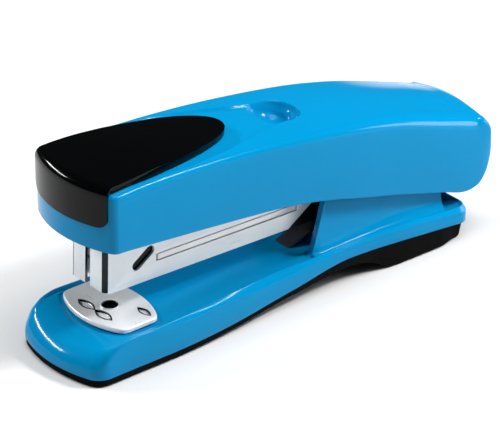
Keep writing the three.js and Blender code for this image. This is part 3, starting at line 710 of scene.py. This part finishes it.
def anvil_plate():
    """The crimping plate in rings from its round-edged hole, over dish and grooves, to its rounded rim."""
    hole, hole_edge, hole_drop = 2.05, 0.6, 0.45
    rim, rim_drop, thickness = 0.45, 0.35, 1.2
    groove_sink, dish_sink = 0.42, 0.22
    outline = anvil_outline(600)
    turn = np.arctan2(outline[:, 1], outline[:, 0])
    circle = np.column_stack([np.cos(turn), np.sin(turn)])
    inward = -outline / np.linalg.norm(outline, axis=1)[:, None]
    bottom = ANVIL_TOP - thickness
    rows = [np.column_stack([circle * hole, np.full(len(turn), bottom)])]
    rows.append(np.column_stack([circle * hole, np.full(len(turn), ANVIL_TOP - hole_drop)]))
    for a in np.linspace(0, math.pi / 2, 6)[1:]:
        radius = hole + hole_edge * (1 - math.cos(a))
        height = ANVIL_TOP - hole_drop + hole_drop * math.sin(a)
        rows.append(np.column_stack([circle * radius, np.full(len(turn), height)]))
    start = circle * (hole + hole_edge)
    end = outline + inward * rim
    for share in np.linspace(0, 1, 150)[1:]:
        xy = start + (end - start) * share
        depth = sum(groove_sink * smoothstep(0.0, 0.35, almond(xy[:, 0], xy[:, 1], *g)) for g in GROOVES)
        dish = dish_sink * (1 - smoothstep(2.7, 3.9, np.hypot(xy[:, 0], xy[:, 1])))
        rows.append(np.column_stack([xy, ANVIL_TOP - depth - dish]))
    for a in np.linspace(0, math.pi / 2, 5)[1:]:
        xy = outline + inward * rim * (1 - math.sin(a))
        rows.append(np.column_stack([xy, np.full(len(turn), ANVIL_TOP - rim_drop * (1 - math.cos(a)))]))
    rows.append(np.column_stack([outline, np.full(len(turn), bottom)]))
    rows.append(rows[0])
    points = np.vstack(rows)
    faces = grid_faces(len(rows), len(turn), closed=True)
    piece = add_piece("anvil_plate_fine", points, faces, "anvil_plate", BRIGHT,
                      ["anvil_plate"], 60)
    # Painted shade: the hole's wall and the inner part of its rounded rim go near-black.
    piece.data.materials.append(SHADE_BLACK)
    for face in piece.data.polygons:
        if math.hypot(face.center.x / MM + ORIGIN_X, face.center.y / MM) < hole + 0.3:
            face.material_index = 1
    return piece


def lathe_piece(name, profile, centre, body, material, nodes=(), sides=48, sharp=40):
    """A turned piece about a vertical line, from (radius, height) points that start and end on the axis."""
    rows = []
    for radius, z in profile:
        a = np.linspace(0, 2 * math.pi, sides, endpoint=False)
        rows.append(np.column_stack([centre[0] + radius * np.cos(a), centre[1] + radius * np.sin(a),
                                     np.full(sides, z)]))
    return add_piece(name, np.vstack(rows), grid_faces(len(rows), sides, closed=True), body, material,
                     nodes, sharp)


def anvil_post():
    """The button under the base and the shaft that carries the plate, hollow at its top."""
    profile = [(0, 1.0), (5.2, 1.0), (5.6, 1.4), (5.6, 2.4), (1.75, 2.4), (1.75, 11.2), (1.6, 11.4),
               (1.3, 11.4), (1.2, 11.2), (1.2, 7.5), (0, 6.9)]
    return lathe_piece("anvil_post_fine", profile, (0, 0), "anvil_post", OILED_AND_SHADE, ["anvil_post"])


# ---------- magazine ----------

def in_magazine(u, y, w):
    """A point given along, across and above the tilted channel, counted from the hinge pin."""
    sine, cosine = math.sin(TILT), math.cos(TILT)
    return PIN[0] + u * cosine + w * sine, y, PIN[1] - u * sine + w * cosine


STAPLE = dict(front=-114.1, rear=-64.0, top=0.05, half_width=6.38, leg=6.0, wire=0.62, bend=0.55,
              pitch=0.52, gap=0.04)


def staple_strip():
    """A glued strip of staples: each is a flattened wire bent into a crown and two legs."""
    half, top, leg, thick = (STAPLE[key] for key in ("half_width", "top", "leg", "wire"))
    bend = STAPLE["bend"]
    outer = [(-half, top - leg), (-half, top - bend)]
    inner = [(-half + thick, top - leg), (-half + thick, top - bend)]
    for a in np.linspace(0, math.pi / 2, 5)[1:]:
        outer.append((-half + bend * (1 - math.cos(a)), top - bend * (1 - math.sin(a))))
        inner.append((-half + thick + 0.1 * (1 - math.cos(a)), top - bend - 0.02 * math.sin(a)))
    outer += [(-y, z) for y, z in reversed(outer)]
    inner = [(y, min(z, top - thick)) for y, z in inner]
    inner += [(-y, z) for y, z in reversed(inner)]
    section = outer + inner[::-1]
    rows, faces = [], []
    count = len(section)
    u = STAPLE["front"]
    while u + STAPLE["pitch"] <= STAPLE["rear"]:
        start = len(rows) * count
        span = STAPLE["pitch"] - STAPLE["gap"]
        for inset, du in ((0.05, 0.0), (0.0, 0.06), (0.0, span - 0.06), (0.05, span)):
            rows.append([in_magazine(u + du, y, w - inset * (w > top - bend)) for y, w in section])
        for r in range(3):
            for c in range(count):
                n = (c + 1) % count
                faces.append((start + r * count + c, start + r * count + n,
                              start + (r + 1) * count + n, start + (r + 1) * count + c))
        half_count = count // 2
        for base in (start, start + 3 * count):
            for c in range(half_count - 1):
                faces.append((base + c, base + c + 1, base + count - 2 - c, base + count - 1 - c))
        u += STAPLE["pitch"]
    points = np.vstack([np.array(r) for r in rows])
    return add_piece("staples", points, faces, "magazine", WIRE, ["staple_strip"], 35)


def coil(name, start, end, radius, wire, turns, body, nodes, across=(0, 1, 0)):
    """A helical spring between two points in design millimetres."""
    start, end = Vector(start), Vector(end)
    along = (end - start).normalized()
    side = Vector(across)
    up = along.cross(side).normalized()
    side = up.cross(along)
    steps, sides = int(turns * 20), 8
    rows = []
    for i in range(steps + 1):
        t = i / steps
        a = 2 * math.pi * turns * t
        spoke = side * math.cos(a) + up * math.sin(a)
        centre = start + (end - start) * t + spoke * radius
        row = []
        for k in range(sides):
            b = 2 * math.pi * k / sides
            row.append(tuple(centre + (spoke * math.cos(b) + along * math.sin(b)) * wire))
        rows.append(np.array(row))
    faces = grid_faces(len(rows), sides, closed=True)
    faces.append(tuple(range(sides)))
    faces.append(tuple(range(steps * sides, (steps + 1) * sides)))
    return add_piece(name, np.vstack(rows), faces, body, SPRING, nodes, 60)


PAINTED_SHADE_EDGE = [(56.0, 18.9), (64.1, 24.2)]  # x and z of the line behind which the channel is painted dark as shade inside the tower
BEND_SHADE_DEPTH = 2.2
BEND_SHADE_FACING = 0.12  # how far a face has to turn from the front and from the side to lie on a bend; bend faces are painted near-black as shade


def magazine_channel():
    """The folded channel, with painted shade: near-black on its front bends, dark on its inner faces and on
    its rear part inside the tower.
    """
    piece = refined("magazine_channel", STEEL, 0.14 * MM, segments=3)
    (x0, z0), (x1, z1) = PAINTED_SHADE_EDGE
    corner = Vector(((x0 - ORIGIN_X) * MM, 0, z0 * MM))
    outward = Vector((z1 - z0, 0, x0 - x1)).normalized()
    cut = bmesh.new()
    cut.from_mesh(piece.data)
    everything = cut.verts[:] + cut.edges[:] + cut.faces[:]
    bmesh.ops.bisect_plane(cut, geom=everything, plane_co=corner, plane_no=outward)
    cut.to_mesh(piece.data)
    cut.free()
    piece.data.materials.append(SHADE_BLACK)
    piece.data.materials.append(OILED_AND_SHADE)
    front = min(v.co.x for v in piece.data.vertices)
    for face in piece.data.polygons:
        normal, centre = face.normal, face.center
        # Painted shade: faces on the front bends go near-black.
        if centre.x < front + BEND_SHADE_DEPTH * MM and normal.x < -BEND_SHADE_FACING and abs(normal.y) > BEND_SHADE_FACING:
            face.material_index = 1
        # Painted shade: the inner faces and the rear part inside the tower go dark.
        elif abs(centre.y) < CHANNEL_INNER * MM and normal.y * centre.y < 0 and abs(normal.y) > 0.5:
            face.material_index = 2
        elif (centre - corner).dot(outward) > 0 and centre.x > corner.x:
            face.material_index = 2
    return piece


SLOT = dict(low=(-105.8, -1.2), high=(-101.5, 1.9))


def slot_shade_sheet(side):
    """A dark strip behind each oblique slot, between the channel's wall and the staples, as painted shade
    inside the slot.
    """
    radius, thin, reach = 1.9, 0.03, 6.44
    (u0, w0), (u1, w1) = SLOT["low"], SLOT["high"]
    lean = math.atan2(w1 - w0, u1 - u0)
    outline = [(u1 + radius * math.cos(lean + a), w1 + radius * math.sin(lean + a))
               for a in np.linspace(-math.pi / 2, math.pi / 2, 13)]
    outline += [(u0 + radius * math.cos(lean + a), w0 + radius * math.sin(lean + a))
                for a in np.linspace(math.pi / 2, 3 * math.pi / 2, 13)]
    middle = side * reach
    rows = [[in_magazine(u, middle + offset, w) for u, w in outline] for offset in (-thin, thin)]
    count = len(outline)
    faces = grid_faces(2, count, closed=True) + [tuple(range(count)), tuple(range(count, 2 * count))]
    name = "slot_guard_right" if side > 0 else "slot_guard_left"
    return add_piece(name, np.vstack([np.array(r) for r in rows]), faces, "magazine", BLACK)


cover_shell()
thumb_pad()
base_body()
tower_side(1)
tower_side(-1)
sole()
anvil_plate()
# Dark loops round the grooves, as painted shade.
for name, groove in zip(("front_left", "front_right", "rear_left", "rear_right"), GROOVES):
    groove_shade_loop("groove_" + name, *groove)
anvil_post()
staple_strip()
coil("follower_spring_coil", in_magazine(-111.6, 0, -3.3), in_magazine(-62.2, 0, -3.3), radius=1.35,
     wire=0.22, turns=34, body="magazine", nodes=["pusher_spring"])
spring = coil("anvil_spring_coil", (0, 0, 4.4), (0, 0, 6.2), radius=2.6, wire=0.3, turns=2.5, body="base",
              nodes=["anvil_spring"])
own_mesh(spring)

refined("base_frame", OILED_AND_SHADE, 0.12 * MM)
for node in ("handle_frame", "staple_rail", "pusher", "rear_stop"):
    refined(node, STEEL, 0.12 * MM)
magazine_channel()
# Dark strips behind the slots, as painted shade.
slot_shade_sheet(1)
slot_shade_sheet(-1)
for node in ("hinge_pin", "magazine_rivet", "sole_screw_front", "sole_screw_rear", "anvil_washer"):
    refined(node, STEEL, 0.12 * MM)
for node in ("guide_strip_left", "guide_strip_right", "driver_blade"):
    refined(node, BRIGHT, 0.1 * MM)
for node in ("hinge_clip_left", "hinge_clip_right", "return_spring", "handle_spring"):
    refined(node, SPRING, 0.08 * MM)

# ---------- floor, light and camera ----------

AIM = Vector(((35.97 - ORIGIN_X) * MM, -15.14 * MM, 33.12 * MM))
VIEW_AZIMUTH, VIEW_ELEVATION = math.radians(-39.5), math.radians(28.5)
VIEW_DISTANCE = 1.0
LENS, SENSOR = 270, 36
FLOOR_HALF = 4.0
FLOOR_DROP = 0.0002  # keeps the floor just under the sole
FLOOR_GREY = (0.66, 0.69)
WORLD_LIGHT = 0.03


def direction(azimuth, elevation):
    """The unit vector from the object towards an azimuth, counted from the front, and an elevation."""
    return Vector((math.sin(azimuth) * math.cos(elevation), -math.cos(azimuth) * math.cos(elevation),
                   math.sin(elevation)))


def make_camera():
    data = bpy.data.cameras.new("camera")
    data.lens = LENS
    data.sensor_width = SENSOR
    data.clip_end = 20
    camera = bpy.data.objects.new("camera", data)
    bpy.context.scene.collection.objects.link(camera)
    back = direction(VIEW_AZIMUTH, VIEW_ELEVATION)
    camera.location = AIM + back * VIEW_DISTANCE
    camera.rotation_mode = "QUATERNION"
    camera.rotation_quaternion = (-back).to_track_quat("-Z", "Y")
    bpy.context.scene.camera = camera


def soft_light(name, azimuth, elevation, distance, width, height, power, target=(0, 0, 0.03)):
    """A rectangular softbox that faces the target, with angles in degrees and sizes in metres."""
    data = bpy.data.lights.new(name, "AREA")
    data.shape = "RECTANGLE"
    data.size, data.size_y = width, height
    data.energy = power
    lamp = bpy.data.objects.new(name, data)
    bpy.context.scene.collection.objects.link(lamp)
    way = direction(math.radians(azimuth), math.radians(elevation))
    lamp.location = Vector(target) + way * distance
    lamp.rotation_mode = "QUATERNION"
    lamp.rotation_quaternion = way.to_track_quat("Z", "Y")
    return lamp


def make_stage():
    """A plain pale floor and an even, weak world light."""
    material, nodes, links, shader = new_material("studio_floor")
    links.new(ramp(nodes, links, noise(nodes, links, 9, 3), *FLOOR_GREY), shader.inputs["Base Color"])
    shader.inputs["Roughness"].default_value = 0.9
    shader.inputs["Specular IOR Level"].default_value = 0.1
    mesh = bpy.data.meshes.new("studio_floor")
    half = FLOOR_HALF
    corners = [(-half, -half, 0), (half, -half, 0), (half, half, 0), (-half, half, 0)]
    mesh.from_pydata(corners, [], [(0, 1, 2, 3)])
    floor = bpy.data.objects.new("studio_floor", mesh)
    floor.location.z = -FLOOR_DROP
    mesh.materials.append(material)
    bpy.context.scene.collection.objects.link(floor)
    world = bpy.data.worlds.new("studio")
    world.use_nodes = True
    background = world.node_tree.nodes["Background"]
    background.inputs["Color"].default_value = (1, 1, 1, 1)
    background.inputs["Strength"].default_value = WORLD_LIGHT
    bpy.context.scene.world = world


make_camera()
make_stage()
soft_light("key", azimuth=45, elevation=46, distance=0.9, width=0.24, height=0.12, power=7.6)
soft_light("fill", azimuth=66, elevation=9, distance=1.2, width=0.6, height=0.3, power=7)
soft_light("overhead", azimuth=0, elevation=82, distance=2.0, width=1.2, height=1.2, power=30)
soft_light("rim", azimuth=212, elevation=27, distance=0.9, width=0.5, height=0.05, power=7)
bpy.context.scene.view_settings.view_transform = "Standard"
